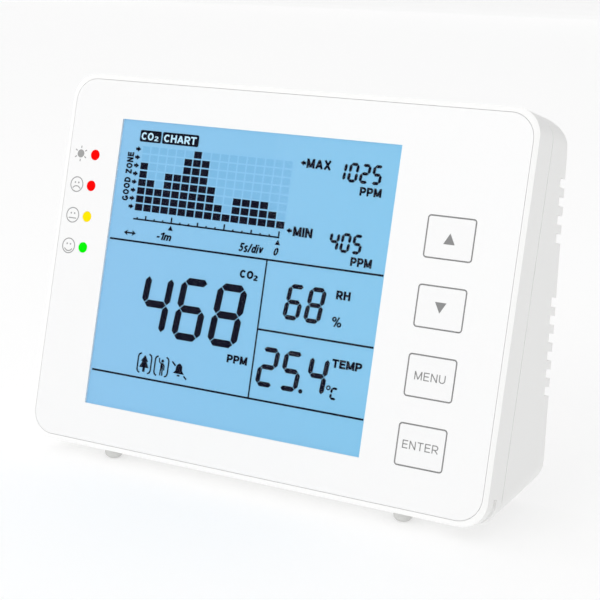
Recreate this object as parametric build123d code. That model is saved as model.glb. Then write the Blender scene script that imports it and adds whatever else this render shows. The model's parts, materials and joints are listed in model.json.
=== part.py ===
"""Desktop air quality monitor: a wedge case with a sloping face, a display, four keys and four status lights.

Lengths are in millimetres.  The part stands on Z = 0, faces -Y, and its origin is the middle of its
footprint.  Most pieces are laid out on the sloping face: x to the right and v up the face from its middle,
and depth straight into the case from the face.
"""
from build123d import *
import os
from math import cos, radians, sin, tan

# ---- case ----
case_width = 120.0
face_height = 89.0            # measured up the slope
case_depth = 35.0             # from the foot of the face to the flat back
face_tilt = 11.4              # degrees that the face leans back
frame_depth = 8.5             # face to the parting line
wall = 2.0
corner_radius = 6.0           # corners seen from the front
low_corner_radius = 9.0       # lower side corners, where they reach the back
top_back_radius = 9.0
bottom_back_radius = 3.0
bottom_rise = 1.0             # degrees that the bottom rises towards the back
back_edge_radius = 0.8
rim_width = 1.13              # bright rim round the face panel
rim_bevel = 0.34
rim_land = 0.18               # flat edge of the rim beside the panel
seam_width = 0.3              # shadow line at the parting plane
seam_depth = 0.3
lip_width = 1.0               # rear case lip that slides into the front frame
lip_reach = 1.3
fit_gap = 0.1                 # between fixed pieces that drop into each other

# ---- face panel ----
panel_thickness = 0.5
panel_corner = 5.6
plate_thickness = 2.0         # front frame plate behind the panel
window_width = 73.8
window_height = 68.6
window_x = -7.65

# ---- keys and switches ----
key_width = 11.0
key_height = 9.0
key_corner = 0.6
key_x = 43.3
key_pitch = 15.0
first_key_v = 15.45
key_gap = 0.12
key_flange = 0.8              # flange past the cap on each side
key_flange_thickness = 1.0
key_float = 0.15              # flange to the back of the panel
key_travel = 0.4
key_stem_radius = 2.0
switch_size = 6.0
switch_height = 3.5
plunger_radius = 1.75
plunger_stand = 0.8           # plunger above its switch
plunger_length = 2.2
running_gap = 0.05

# ---- status lights ----
light_x = -51.25
light_pitch = 7.5
first_light_v = 24.95
light_radius = 1.25
lens_flange = 0.35            # flange behind the plate, past the lens
lens_flange_thickness = 0.5
led_radius = 1.5
led_height = 4.5
shroud_wall = 1.0

# ---- display stack ----
cell_margin = 2.1             # display glass past the window on each side
cell_thickness = 2.8
holder_rim = 1.3              # holder past the glass on each side
shelf_width = 1.75            # holder shelf under the edge of the glass
backlight_space = 2.0
connector_length = 63.5
connector_width = 1.7

# ---- main board ----
board_front = 8.7
board_thickness = 1.6
board_edge_gap = 1.4          # board edge to the case wall
post_radius = 2.2
post_inset = 6.0              # from the side of the case
post_rows = (30.0, -24.5)
board_screw_radius = 1.1
board_screw_head_radius = 2.0
board_screw_head_height = 1.4
board_screw_reach = 4.0

# ---- case screws ----
screw_inset = 7.5             # from the sides and the top of the case
lower_screw_v = -33.0
case_screw_radius = 1.4
case_screw_head_radius = 2.7
case_screw_head_height = 1.9
case_screw_seat = 3.5         # plastic between the parting plane and the head
case_screw_reach = 4.5
boss_wall = 1.7

# ---- vents ----
vent_height = 2.0
vent_pitch = 4.0
vent_reach = 3.6              # forward from the back on each side wall
vent_length = 14.0            # across the back from each side
upper_vent_top = 32.0
upper_vents = 4
lower_vent_top = 6.0
lower_vents = 6

# ---- back, feet and power ----
keyhole_x = 30.0
keyhole_z = 56.0
keyhole_entry_radius = 4.0
keyhole_slot_radius = 2.1
keyhole_rise = 7.5
foot_height = 1.9             # case bottom above the table
foot_x = 38.7
front_foot_radius = 2.15
front_foot_rounding = 1.4
peg_radius = 1.0
peg_length = 1.4
rear_foot_radius = 3.5
rear_foot_inset = 8.0
rear_foot_rounding = 0.5
pry_depth = 3.5               # pry slot at each lower corner, from the face
pry_width = 2.0
pry_cut = 1.1
pry_run = 10.0                # along the bottom from the side
pry_start = 6.5               # up the side from the bottom
inlet_v = -8.0
inlet_width = 7.6
inlet_height = 2.9
inlet_length = 7.0
inlet_shell = 0.4
plug_recess_width = 11.0
plug_recess_height = 6.6
plug_recess_depth = 1.1

# ---- boards and parts behind the main board ----
sensor_board_size = (48.0, 32.0)
sensor_at = (-22.0, -20.0)
sensor_standoff = 3.5
sensor_board_thickness = 1.6
chamber_size = (40.0, 18.0)
chamber_height = 6.8
membrane_radius = 4.0
membrane_thickness = 0.6
header_size = (20.3, 2.5)
pin_count = 8
pin_size = 0.64
pin_pitch = 2.54
climate_board_size = (12.0, 13.0)
climate_board_thickness = 1.0
climate_at = (50.0, -8.0)
buzzer_at = (-20.0, 17.0)
buzzer_radius = 6.0
buzzer_height = 6.5
controller_at = (22.0, -14.0)
controller_size = 12.0
chip_height = 1.2
capacitor_radius = 3.15
capacitor_height = 7.7

# ---- worked out from the sizes above ----
tilt = radians(face_tilt)
rise = radians(bottom_rise)
half_width = case_width / 2
half_face = face_height / 2
back_y = case_depth / 2
rim_slope = rim_width - rim_land
face_y = -back_y + (half_face - rim_slope) * sin(tilt)
face_z = foot_height + half_face * cos(tilt) + frame_depth * sin(tilt)
face_frame = Location((0, face_y, face_z), (90 - face_tilt, 0, 0))
top_run = (back_y - face_y - half_face * sin(tilt)) / cos(tilt) - frame_depth
round_top = min(top_back_radius, 0.9 * top_run / tan((radians(90) - tilt) / 2))
plate_back = panel_thickness + plate_thickness
board_back = board_front + board_thickness
cell_front = panel_thickness
cell_back = cell_front + cell_thickness
screw_x = half_width - screw_inset
upper_screw_v = half_face - screw_inset
post_x = half_width - post_inset
key_rows = [first_key_v - i * key_pitch for i in range(4)]
light_rows = [first_light_v - i * light_pitch for i in range(4)]
key_names = ("up", "down", "menu", "enter")
light_names = ("alarm", "high", "medium", "low")
switch_top = board_front - switch_height
plunger_top = switch_top - plunger_stand
screw_places = [(s * screw_x, v) for s in (-1, 1) for v in (upper_screw_v, lower_screw_v)]
post_places = [(s * post_x, v) for s in (-1, 1) for v in post_rows]
far = 4 * case_width          # longer than anything in the part


def block(width, height, front, back, at=(0, 0), corner=0):
    """A block laid out on the face, from one depth to another."""
    outline = RectangleRounded(width, height, corner) if corner > 0 else Rectangle(width, height)
    return face_frame * Pos(at[0], at[1], -back) * extrude(outline, back - front)


def rod(radius, front, back, at):
    """A round rod square to the face, from one depth to another."""
    return face_frame * Pos(at[0], at[1], -back) * extrude(Circle(radius), back - front)


def outline_block(inset, front, back):
    """The case outline seen from the front, drawn in by inset, from one depth to another."""
    return block(case_width - 2 * inset, face_height - 2 * inset, front, back, corner=corner_radius - inset)


def on_face(v, depth):
    """World Y and Z of a point of the middle plane, from its height up the face and its depth."""
    return face_y + v * sin(tilt) + depth * cos(tilt), face_z + v * cos(tilt) - depth * sin(tilt)


def along_bottom(inset):
    """Where the rear case's bottom meets the parting plane, drawn in by inset; Z runs forwards."""
    y, z = on_face(-half_face, frame_depth)
    return Location((0, y, z + inset / cos(rise)), (90 + bottom_rise, 0, 0))


def room_behind_board(v):
    """How far a part may stand off the back of the board at a height, short of the rear wall."""
    inner_wall = (back_y - wall - face_y - v * sin(tilt)) / cos(tilt)
    return inner_wall - board_back - 1


def wedge(inset, front):
    """The rear case's shape behind a depth, drawn in by inset: square to the face above, rising below."""
    top_v = half_face - inset
    back = back_y - inset
    top_depth = (back - face_y - top_v * sin(tilt)) / cos(tilt)
    bottom = along_bottom(inset)
    seam_y, seam_z = bottom.position.Y, bottom.position.Z
    seam_to_front = front - (seam_y - face_y) * cos(tilt) + (seam_z - face_z) * sin(tilt)
    run = seam_to_front / cos(tilt + rise)
    low_front = (seam_y + run * cos(rise), seam_z + run * sin(rise))
    low_back = (back, seam_z + (back - seam_y) * tan(rise))
    high_back = on_face(top_v, top_depth)
    side = make_face(Polyline(on_face(top_v, front), high_back, low_back, low_front, close=True))
    high_corner = side.vertices().sort_by_distance((*high_back, 0))[0]
    side = fillet(high_corner, max(round_top - inset, 0.3))
    low_corner = side.vertices().sort_by_distance((*low_back, 0))[0]
    side = fillet(low_corner, max(bottom_back_radius - inset, 0.3))
    side_prism = extrude(Plane.YZ * side, half_width - inset, both=True)
    if back_edge_radius > inset:
        upright = side_prism.edges().filter_by(Axis.Z).group_by(Axis.Y)[-1]
        side_prism = fillet(upright, back_edge_radius - inset)
    outline = RectangleRounded(case_width - 2 * inset, far, corner_radius - inset)
    top_prism = face_frame * Pos(0, top_v - far / 2, -far / 2) * extrude(outline, far)
    growth = (low_corner_radius - corner_radius) / (back_y - seam_y)
    low_ends = []
    for place in (-2 * wall, 2 * case_depth):
        outline = RectangleRounded(case_width - 2 * inset, far, corner_radius + growth * place - inset)
        low_ends.append(bottom * Pos(0, far / 2, -place) * outline)
    return side_prism & top_prism & loft(low_ends, ruled=True)


def panel_block(gap, front, back):
    """A block with the face panel's outline, drawn in by gap."""
    inset = rim_width + gap
    return block(case_width - 2 * inset, face_height - 2 * inset, front, back, corner=panel_corner - gap)


def window_block(margin, front, back):
    """A block with the display window's outline, larger by margin on each side."""
    return block(window_width + 2 * margin, window_height + 2 * margin, front, back, at=(window_x, 0))


def key_block(margin, front, back, v):
    """A block with a key opening's outline, larger by margin on each side."""
    corner = max(key_corner + margin, 0.2)
    return block(key_width + 2 * margin, key_height + 2 * margin, front, back, at=(key_x, v), corner=corner)


def front_foot_place(side):
    """Where a front foot stands: under the front frame, just in front of the parting line."""
    depth = frame_depth - front_foot_radius - fit_gap / 2
    y, _ = on_face(-half_face, depth)
    return side * foot_x, y, depth


def front_frame():
    """The front half of the case: rim, outer wall, plate behind the panel, posts and bosses."""
    slope = 2 * rim_slope
    rim = loft([
        face_frame * Pos(0, 0, -rim_bevel) * RectangleRounded(case_width, face_height, corner_radius),
        face_frame * RectangleRounded(case_width - slope, face_height - slope, panel_corner + rim_land),
    ])
    body = rim + outline_block(0, rim_bevel, frame_depth)
    body -= panel_block(0, -1, panel_thickness)
    body -= outline_block(wall, plate_back, frame_depth + 1)
    for place in post_places:
        body += rod(post_radius, plate_back - 0.5, board_front, place)
    for place in screw_places:
        body += rod(case_screw_radius + boss_wall, plate_back - 0.5, frame_depth, place)
    body -= window_block(cell_margin + fit_gap * 5, 0, plate_back + 0.1)
    for v in key_rows:
        body -= key_block(key_flange + 0.2, 0, plate_back, v)
    for v in light_rows:
        body -= rod(light_radius + running_gap, 0, plate_back + 1, (light_x, v))
    for place in post_places:
        body -= rod(board_screw_radius + running_gap, board_screw_reach - 0.5, board_front + 1, place)
    for place in screw_places:
        hole_front = frame_depth - case_screw_reach - 0.5
        body -= rod(case_screw_radius + running_gap, hole_front, frame_depth + 1, place)
    pry_back = pry_depth + pry_width
    groove = outline_block(-1, pry_depth, pry_back) - outline_block(pry_cut, pry_depth - 1, pry_back + 1)
    low_edge = -half_face + pry_start
    for side in (-1, 1):
        reach = block(pry_run * 2, far, 0, far, at=(side * half_width, low_edge - far / 2))
        body -= groove & reach
        body -= foot_peg(side, running_gap, peg_length + 0.3)
    return body


def foot_peg(side, gap, length):
    """The peg that holds a front foot, or with a gap the hole that it sits in."""
    x, _, depth = front_foot_place(side)
    start = Location((x, -half_face, -depth), (-90, 0, 0))
    return face_frame * start * extrude(Circle(peg_radius + gap), length)


def front_foot(side):
    """A round nub under the front frame with a flat tip on the table and a peg into the frame."""
    x, y, _ = front_foot_place(side)
    nub = Pos(x, y, 0) * extrude(Circle(front_foot_radius), 3 * foot_height)
    nub = fillet(nub.edges().group_by(Axis.Z)[0], front_foot_rounding)
    nub -= block(case_width, face_height, -far / 2, far / 2)
    return nub + foot_peg(side, 0, peg_length)


def rear_foot(side):
    """A pad under the rear case, flat below and cut to the slope of the bottom above."""
    pad = Pos(side * foot_x, back_y - rear_foot_inset, 0) * extrude(Circle(rear_foot_radius), 3 * foot_height)
    pad = fillet(pad.edges().group_by(Axis.Z)[0], rear_foot_rounding)
    return pad - along_bottom(0) * Pos(0, far / 2, 0) * Box(far, far, far)


def front_panel():
    """The flat printed panel that fills the rim, open for the window, keys and lights."""
    panel = panel_block(fit_gap, 0, panel_thickness)
    panel -= window_block(0, -1, panel_thickness + 1)
    for v in key_rows:
        panel -= key_block(0, -1, panel_thickness + 1, v)
    for v in light_rows:
        panel -= rod(light_radius + running_gap, -1, panel_thickness + 1, (light_x, v))
    return panel


def display_holder():
    """The moulded holder that carries the display glass above the main board."""
    margin = cell_margin + holder_rim
    holder = window_block(margin, plate_back, board_front)
    holder -= window_block(cell_margin + fit_gap, 0, cell_back)
    holder -= window_block(cell_margin - shelf_width, 0, board_front + 1)
    for side in (-1, 1):
        holder -= connector(side, fit_gap)
    return holder


def connector(side, gap=0):
    """A rubber contact strip between the display glass and the board, or the slot that holds it."""
    v = side * (window_height / 2 + cell_margin - (shelf_width - 0.2) / 2 - 0.1)
    size = (connector_length + 2 * gap, connector_width - 0.35 + 2 * gap)
    return block(*size, cell_back - 10 * gap, board_front + 10 * gap, at=(window_x, v))


def light_guide():
    """The clear slab behind the display glass that spreads the backlight."""
    margin = cell_margin - shelf_width - fit_gap
    guide = window_block(margin, cell_back + fit_gap, board_front)
    left = window_x - window_width / 2 - margin
    return guide - block(2 * backlight_space, far, 0, far, at=(left, 0))


def backlight_leds():
    """Three side-firing lamps in the space beside the light guide."""
    left = window_x - window_width / 2 - (cell_margin - shelf_width - fit_gap)
    places = [(left + backlight_space / 2, v) for v in (-20, 0, 20)]
    return [block(1.4, 3.4, cell_back + 0.8, board_front, at=place) for place in places]


def main_board():
    """The board that carries the display, switches, lights and sensors, notched round the case screws."""
    width = case_width - 2 * (wall + board_edge_gap)
    top = half_face - wall - board_edge_gap - lip_width
    board = block(width, 2 * top, board_front, board_back, corner=1)
    clear = case_screw_radius + boss_wall + 0.8
    for side in (-1, 1):
        for v in (upper_screw_v - clear + far / 2, lower_screw_v + clear - far / 2):
            board -= block(2 * (screw_inset + clear), far, 0, far, at=(side * half_width, v))
    for place in post_places:
        board -= rod(board_screw_radius + running_gap, 0, far, place)
    return board


def key_cap(v):
    """A key: its cap flush in the panel, a flange that keeps it in, and a stem to its switch."""
    flange_front = panel_thickness + key_float
    flange_back = flange_front + key_flange_thickness
    cap = key_block(-key_gap, 0, flange_front, v)
    cap += key_block(key_flange, flange_front, flange_back, v)
    return cap + rod(key_stem_radius, flange_back, plunger_top, (key_x, v))


def plunger(v):
    """The moving button of a key's switch."""
    return rod(plunger_radius, plunger_top, plunger_top + plunger_length, (key_x, v))


def key_switches():
    """The four switch bodies on the board, each with the bore that its plunger slides in."""
    bore_back = plunger_top + plunger_length + 2 * key_travel
    bodies = []
    for v in key_rows:
        body = block(switch_size, switch_size, switch_top, board_front, at=(key_x, v), corner=0.4)
        bodies.append(body - rod(plunger_radius + running_gap, 0, bore_back, (key_x, v)))
    return bodies


def light_lens(v):
    """A coloured lens through the panel and the plate, with a flange against the plate's back."""
    flange = rod(light_radius + lens_flange, plate_back, plate_back + lens_flange_thickness, (light_x, v))
    return rod(light_radius, 0, plate_back, (light_x, v)) + flange


def status_leds():
    """The four round-nosed lamps behind the lenses."""
    lamps = []
    for v in light_rows:
        tip = board_front - led_height
        lamp = rod(led_radius, tip + led_radius, board_front, (light_x, v))
        nose = face_frame * Pos(light_x, v, -tip - led_radius) * Sphere(led_radius)
        lamps.append(lamp + nose)
    return lamps


def light_shroud():
    """The block that keeps each lamp's light to its own lens."""
    height = 3 * light_pitch + 2 * (led_radius + shroud_wall)
    middle = (light_rows[0] + light_rows[-1]) / 2
    shroud = block(2 * (led_radius + shroud_wall), height, plate_back, board_front, at=(light_x, middle))
    for v in light_rows:
        shroud -= rod(led_radius + 0.2, 0, far, (light_x, v))
    return shroud


def rear_case():
    """The wedge-shaped rear half of the case with its vents, screw wells, keyholes and inlet."""
    body = wedge(0, frame_depth)
    body -= outline_block(-far / 4, frame_depth - 1, frame_depth + seam_width) - outline_block(
        seam_depth, frame_depth - 2, frame_depth + seam_width + 1)
    body -= wedge(wall, frame_depth - 1)
    lip = outline_block(wall + fit_gap, frame_depth - lip_reach, frame_depth + 1.5)
    lip -= outline_block(wall + fit_gap + lip_width, frame_depth - far / 4, frame_depth + far / 4)
    body += lip
    body += outline_block(wall - 0.3, frame_depth, frame_depth + 1.5) - outline_block(
        wall + 0.5, frame_depth - 1, frame_depth + 2)
    inside = wedge(wall / 2, frame_depth)
    seat = frame_depth + case_screw_seat
    for place in screw_places:
        well = rod(case_screw_head_radius + 0.4 + wall * 0.7, seat - 1.5, far, place)
        well += rod(case_screw_radius + boss_wall + 0.1, frame_depth, seat, place)
        body += well & inside
    for place in screw_places:
        body -= rod(case_screw_head_radius + 0.4, seat, far, place)
        body -= rod(case_screw_radius + 0.2, 0, far, place)
    for vent in vent_cuts():
        body -= vent
    for side in (-1, 1):
        body -= keyhole(side * keyhole_x)
    body -= inlet_cut()
    return body


def vent_cuts():
    """The slots that wrap round both back corners, level with the face's own right angle."""
    tops = [upper_vent_top - i * vent_pitch for i in range(upper_vents)]
    tops += [lower_vent_top - i * vent_pitch for i in range(lower_vents)]
    back_zone = Pos(0, back_y - vent_reach + far / 2, 0) * Box(far, far, far)
    cuts = []
    for side in (-1, 1):
        for top in tops:
            place = (side * half_width, top - vent_height / 2)
            cuts.append(block(2 * vent_length, vent_height, 0, far / 2, at=place) & back_zone)
    return cuts


def keyhole(x):
    """A hanging slot through the back: a round entry below and a narrow slot above it."""
    entry = Pos(x, keyhole_z) * Circle(keyhole_entry_radius)
    slot = Pos(x, keyhole_z + keyhole_rise / 2) * Rectangle(2 * keyhole_slot_radius, keyhole_rise)
    end = Pos(x, keyhole_z + keyhole_rise) * Circle(keyhole_slot_radius)
    depth = wall + 1
    return Pos(0, back_y + 1, 0) * extrude(Plane.XZ * (entry + slot + end), depth + 0.5)


def inlet_cut():
    """The opening in the left wall for the power plug, with a shallow recess round it."""
    middle = board_back + inlet_height / 2
    hole = block(far, inlet_width + 0.6, middle - inlet_height / 2 - 0.15, middle + inlet_height / 2 + 0.3,
                 at=(-half_width - far / 2 + wall + 1, inlet_v))
    recess = block(far, plug_recess_width, middle - plug_recess_height / 2 + 0.2,
                   middle + plug_recess_height / 2 + 0.2,
                   at=(-half_width - far / 2 + plug_recess_depth, inlet_v))
    return hole + recess


def power_inlet():
    """The socket on the edge of the board: a metal shell with a mouth and a tongue."""
    mouth_x = -half_width + wall
    at = (mouth_x + inlet_length / 2, inlet_v)
    shell = block(inlet_length, inlet_width, board_back, board_back + inlet_height, at=at)
    mouth = block(2 * (inlet_length - 1.2), inlet_width - 2 * inlet_shell, board_back + inlet_shell,
                  board_back + inlet_height - inlet_shell, at=(mouth_x, inlet_v))
    tongue = block(inlet_length - 1.5, inlet_width - 2.6, board_back + inlet_height / 2 - 0.35,
                   board_back + inlet_height / 2 + 0.35, at=(at[0] + 0.75, inlet_v))
    return shell - mouth + tongue


def case_screws():
    """Four screws from the wells in the rear case into the bosses of the front frame."""
    seat = frame_depth + case_screw_seat
    screws = []
    for place in screw_places:
        screw = rod(case_screw_radius, frame_depth - case_screw_reach, seat + 0.1, place)
        head = rod(case_screw_head_radius, seat, seat + case_screw_head_height, place)
        screws.append(screw + head - cross_slot(place, seat + case_screw_head_height, 2.6))
    return screws


def board_screws():
    """Four screws that hold the main board to the posts of the front frame."""
    screws = []
    for place in post_places:
        screw = rod(board_screw_radius, board_screw_reach, board_back + 0.1, place)
        head = rod(board_screw_head_radius, board_back, board_back + board_screw_head_height, place)
        screws.append(screw + head - cross_slot(place, board_back + board_screw_head_height, 2.0))
    return screws


def cross_slot(place, top, length):
    """The cross in a screw head."""
    return block(length, 0.6, top - 0.7, top + 1, at=place) + block(0.6, length, top - 0.7, top + 1, at=place)


def sensor_levels():
    """Depths of the gas sensor's board: its near and far faces."""
    near = board_back + sensor_standoff
    return near, near + sensor_board_thickness


def chamber_back():
    """How deep the gas sensor's chamber reaches: its full height, or less in a shallow case."""
    stack = sensor_standoff + sensor_board_thickness + chamber_height
    return board_back + min(stack, room_behind_board(sensor_at[1] + chamber_size[1] / 2))


def sensor_board():
    """The gas sensor's own board, parallel to the main board."""
    near, far_face = sensor_levels()
    return block(*sensor_board_size, near, far_face, at=sensor_at, corner=1)


def sensor_chamber():
    """The gas sensor's optical chamber, with a round well for its membrane."""
    base = sensor_levels()[1]
    top = chamber_back()
    chamber = block(*chamber_size, base, top - 1.6, at=sensor_at, corner=chamber_size[1] / 2 - 0.5)
    chamber += block(chamber_size[0] - 12, chamber_size[1] - 5, top - 1.8, top, at=sensor_at, corner=3)
    return chamber - rod(membrane_radius + running_gap, top - membrane_thickness, top + 1, sensor_at)


def sensor_membrane():
    """The white membrane that lets air into the chamber."""
    top = chamber_back()
    return rod(membrane_radius, top - membrane_thickness, top, sensor_at)


def sensor_header():
    """The pin header between the two boards: a plastic strip with its pins."""
    near = sensor_levels()[0]
    at = (sensor_at[0], sensor_at[1] + sensor_board_size[1] / 2 - 2)
    strip = block(*header_size, board_back, near - 1, at=at)
    for i in range(pin_count):
        x = at[0] + (i - (pin_count - 1) / 2) * pin_pitch
        strip += block(pin_size, pin_size, near - 1.1, near, at=(x, at[1]))
    return strip


def climate_back():
    """How deep the upright board reaches: its full size, or less in a shallow case."""
    room = room_behind_board(climate_at[1] + climate_board_size[0] / 2)
    return board_back + min(climate_board_size[1], room)


def climate_board():
    """The small upright board that holds the temperature and humidity sensor near the vents."""
    size = (climate_board_thickness, climate_board_size[0])
    return block(*size, board_back, climate_back(), at=climate_at)


def climate_sensor():
    """The temperature and humidity sensor, on the side of its board that faces the vents."""
    middle = climate_back() - 3.5
    x = climate_at[0] + climate_board_thickness / 2 + 0.5
    chip = block(1, 3, middle - 1.5, middle + 1.5, at=(x, climate_at[1]))
    port = face_frame * Location((x + 0.5, climate_at[1], -middle), (0, -90, 0)) * extrude(Circle(0.6), 0.3)
    return chip - port


def buzzer():
    """The round sounder with its hole."""
    top = board_back + min(buzzer_height, room_behind_board(buzzer_at[1] + buzzer_radius))
    can = rod(buzzer_radius, board_back, top, buzzer_at)
    return can - rod(1.2, top - 1, top + 1, buzzer_at)


def controller_chip():
    """The processor on the back of the main board."""
    return block(controller_size, controller_size, board_back, board_back + chip_height, at=controller_at)


def board_chips():
    """The memory, clock and regulator chips."""
    places = [((5, 6), (22, 4)), ((4, 5), (8, 2)), ((6.5, 6.5), (-43, 0))]
    return [block(*size, board_back, board_back + chip_height, at=at) for size, at in places]


def capacitors():
    """Three upright capacitors of the power supply."""
    places = [(-44, 10), (-36, 10), (-44, 19)]
    height = min(capacitor_height, room_behind_board(19 + capacitor_radius))
    return [rod(capacitor_radius, board_back, board_back + height, at) for at in places]


def save(name, shape):
    """Write one node's STEP file; a list is a group of separate solids."""
    solids = []
    for piece in shape if isinstance(shape, list) else [shape]:
        solids.extend(piece.solids())
    body = solids[0] if len(solids) == 1 else Compound(children=solids)
    body.label = name
    export_step(body, f"parts/{name}.step")


os.makedirs("parts", exist_ok=True)
save("front_frame", front_frame())
save("rear_case", rear_case())
save("front_panel", front_panel())
save("display_window", window_block(-running_gap, 0, panel_thickness))
save("display_glass", window_block(cell_margin, cell_front, cell_back))
save("display_holder", display_holder())
save("light_guide", light_guide())
save("backlight_leds", backlight_leds())
save("display_connectors", [connector(-1), connector(1)])
save("main_board", main_board())
for key_name, row in zip(key_names, key_rows):
    save(f"key_{key_name}", key_cap(row))
    save(f"plunger_{key_name}", plunger(row))
save("key_switches", key_switches())
for light_name, row in zip(light_names, light_rows):
    save(f"lens_{light_name}", light_lens(row))
save("status_leds", status_leds())
save("light_shroud", light_shroud())
save("sensor_board", sensor_board())
save("sensor_chamber", sensor_chamber())
save("sensor_membrane", sensor_membrane())
save("sensor_header", sensor_header())
save("climate_board", climate_board())
save("climate_sensor", climate_sensor())
save("buzzer", buzzer())
save("controller_chip", controller_chip())
save("board_chips", board_chips())
save("capacitors", capacitors())
save("power_inlet", power_inlet())
save("case_screws", case_screws())
save("board_screws", board_screws())
for side_name, side_sign in (("left", -1), ("right", 1)):
    save(f"front_foot_{side_name}", front_foot(side_sign))
    save(f"rear_foot_{side_name}", rear_foot(side_sign))
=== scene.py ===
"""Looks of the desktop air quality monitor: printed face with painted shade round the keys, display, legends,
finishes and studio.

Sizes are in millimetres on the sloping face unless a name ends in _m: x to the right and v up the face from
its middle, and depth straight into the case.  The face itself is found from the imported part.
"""
import json
import logging
from dataclasses import dataclass
from enum import Enum
from typing import Any, Iterable, Sequence

import bmesh
import bpy
import numpy as np
from mathutils import Matrix, Vector


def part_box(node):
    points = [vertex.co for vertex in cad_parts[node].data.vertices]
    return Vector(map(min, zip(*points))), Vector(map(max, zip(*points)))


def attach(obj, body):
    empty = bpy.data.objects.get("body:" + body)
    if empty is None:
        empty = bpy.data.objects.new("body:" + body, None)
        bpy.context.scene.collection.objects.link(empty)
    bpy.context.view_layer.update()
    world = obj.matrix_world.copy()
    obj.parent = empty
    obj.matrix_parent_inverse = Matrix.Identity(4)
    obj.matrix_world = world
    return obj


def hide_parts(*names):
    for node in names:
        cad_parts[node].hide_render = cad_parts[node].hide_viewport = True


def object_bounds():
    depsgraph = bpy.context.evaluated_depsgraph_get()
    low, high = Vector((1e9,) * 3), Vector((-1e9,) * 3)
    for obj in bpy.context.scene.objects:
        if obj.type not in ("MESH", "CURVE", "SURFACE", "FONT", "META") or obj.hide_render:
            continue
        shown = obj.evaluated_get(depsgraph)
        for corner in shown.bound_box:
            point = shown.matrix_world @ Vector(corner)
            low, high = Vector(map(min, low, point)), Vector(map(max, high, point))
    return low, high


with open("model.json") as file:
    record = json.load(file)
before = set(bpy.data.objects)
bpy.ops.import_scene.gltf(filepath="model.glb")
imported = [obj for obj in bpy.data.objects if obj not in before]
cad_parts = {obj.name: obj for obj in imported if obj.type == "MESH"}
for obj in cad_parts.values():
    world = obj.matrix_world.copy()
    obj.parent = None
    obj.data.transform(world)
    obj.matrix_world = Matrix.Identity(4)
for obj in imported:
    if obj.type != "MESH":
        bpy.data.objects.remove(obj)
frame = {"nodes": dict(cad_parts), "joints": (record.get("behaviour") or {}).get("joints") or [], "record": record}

MM = 0.001
START_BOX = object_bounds()
LOG = logging.getLogger("air_monitor")


class Body(Enum):
    """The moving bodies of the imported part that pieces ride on."""

    CASE = "case"
    UP = "up_button"
    DOWN = "down_button"
    MENU = "menu_button"
    ENTER = "enter_button"


# ------------------------------------------------------------------ materials

def linear(colour: str, alpha: float = 1.0) -> tuple[float, float, float, float]:
    """Turn an sRGB hex colour into linear red, green, blue and alpha.

    Args:
        colour: Six hex digits, with or without a leading hash.
        alpha: The fourth value, passed through.

    Returns:
        Four linear values.
    """
    parts = [int(colour.lstrip("#")[i:i + 2], 16) / 255 for i in (0, 2, 4)]
    red, green, blue = [c / 12.92 if c <= 0.04045 else ((c + 0.055) / 1.055) ** 2.4 for c in parts]
    return red, green, blue, alpha


def add_node(tree: bpy.types.NodeTree, kind: str, settings: dict[str, Any] | None = None,
             values: dict[Any, Any] | None = None, links: dict[Any, Any] | None = None) -> bpy.types.Node:
    """Add a node with its settings, socket values and incoming links.

    Args:
        tree: The node tree to add to.
        kind: The node's type name.
        settings: Properties of the node itself.
        values: Input socket name or index to its value.
        links: Input socket name or index to the output socket that feeds it.

    Returns:
        The new node.
    """
    node = tree.nodes.new(kind)
    for key, value in (settings or {}).items():
        setattr(node, key, value)
    for key, value in (values or {}).items():
        node.inputs[key].default_value = value
    for key, output in (links or {}).items():
        tree.links.new(output, node.inputs[key])
    return node


@dataclass(frozen=True)
class Finish:
    """A plain finish: one Principled shader with values set on its own sockets."""

    name: str
    colour: str
    roughness: float = 0.5
    ior: float = 1.5
    metallic: float = 0.0
    transmission: float = 0.0
    alpha: float = 1.0
    coat: float = 0.0
    glow: float = 0.0

    def shader_values(self) -> dict[str, Any]:
        """Collect the socket values that are the same all over the surface.

        Returns:
            Socket name to value.
        """
        values: dict[str, Any] = {
            "Base Color": linear(self.colour), "Roughness": self.roughness, "Metallic": self.metallic,
            "Transmission Weight": self.transmission, "Alpha": self.alpha, "Coat Weight": self.coat,
            "Emission Color": linear(self.colour), "Emission Strength": self.glow,
        }
        if self.metallic < 0.5:
            values["IOR"] = self.ior
        return values

    def pattern(self, tree: bpy.types.NodeTree, shader: bpy.types.Node) -> None:
        """Add whatever varies over the surface; a plain finish has nothing to add.

        Args:
            tree: The material's node tree.
            shader: Its Principled node.
        """

    def build(self) -> bpy.types.Material:
        """Make the material, or find it when it has been made before.

        Returns:
            The material.
        """
        made = bpy.data.materials.get(self.name)
        if made is not None:
            return made
        material = bpy.data.materials.new(self.name)
        material.use_nodes = True
        tree = material.node_tree
        tree.nodes.clear()
        shader = add_node(tree, "ShaderNodeBsdfPrincipled", values=self.shader_values())
        add_node(tree, "ShaderNodeOutputMaterial", links={"Surface": shader.outputs["BSDF"]})
        self.pattern(tree, shader)
        return material


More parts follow.
